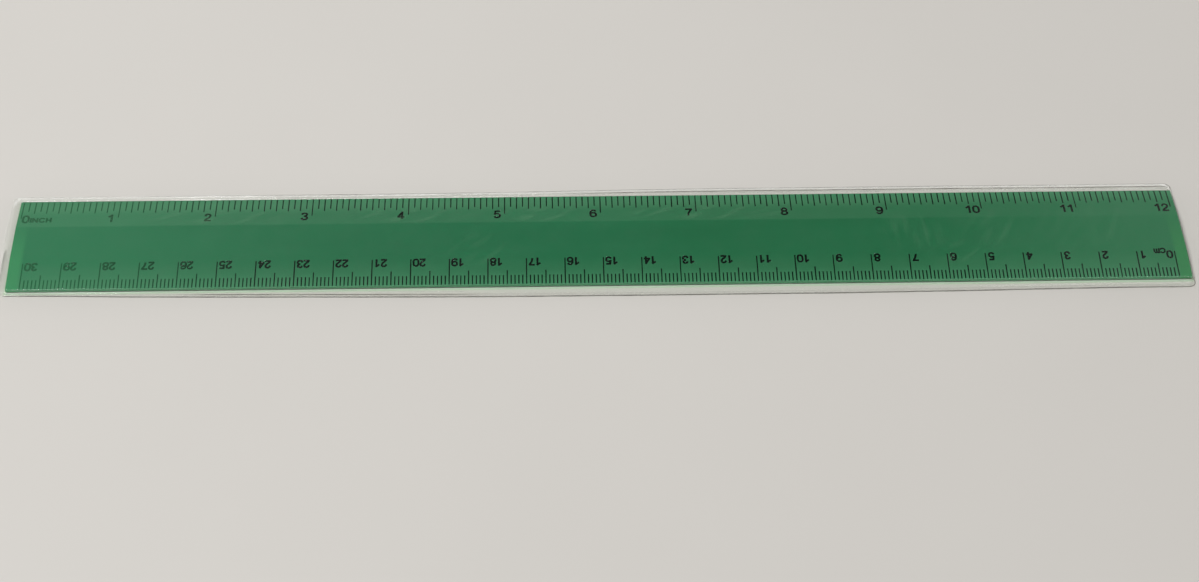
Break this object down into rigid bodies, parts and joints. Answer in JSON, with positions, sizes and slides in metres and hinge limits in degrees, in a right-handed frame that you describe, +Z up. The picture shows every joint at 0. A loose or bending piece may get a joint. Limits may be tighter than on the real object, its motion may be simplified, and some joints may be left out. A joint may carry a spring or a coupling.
{
  "type": "ruler",
  "caption": "Flat translucent green plastic ruler with bevelled inch and centimetre edges and stamped graduations, in a clear film sleeve that it slides out of.",
  "frame": {"origin": "middle of the sleeve's underside, on the surface that it lies on", "axes": "+X along the ruler from the sleeve's open mouth to its closed end, +Y from the centimetre edge to the inch edge, +Z up out of the printed face"},
  "size_m": [0.3106, 0.0368, 0.0026],
  "materials": {
    "green_plastic": "moulded translucent dyed polystyrene, glossy",
    "black_foil": "hot-stamped black foil, satin",
    "clear_film": "clear extruded film, glossy, lightly crinkled"
  },
  "bodies": {
    "sleeve": {"sleeve_back_film": "clear_film", "sleeve_front_film": "clear_film"},
    "ruler": {"ruler_blade": "green_plastic"}
  },
  "joints": [
    {"name": "ruler_slide", "type": "slide", "parent": "sleeve", "child": "ruler", "axis": [-1, 0, 0], "range_m": [0, 0.31]}
  ]
}
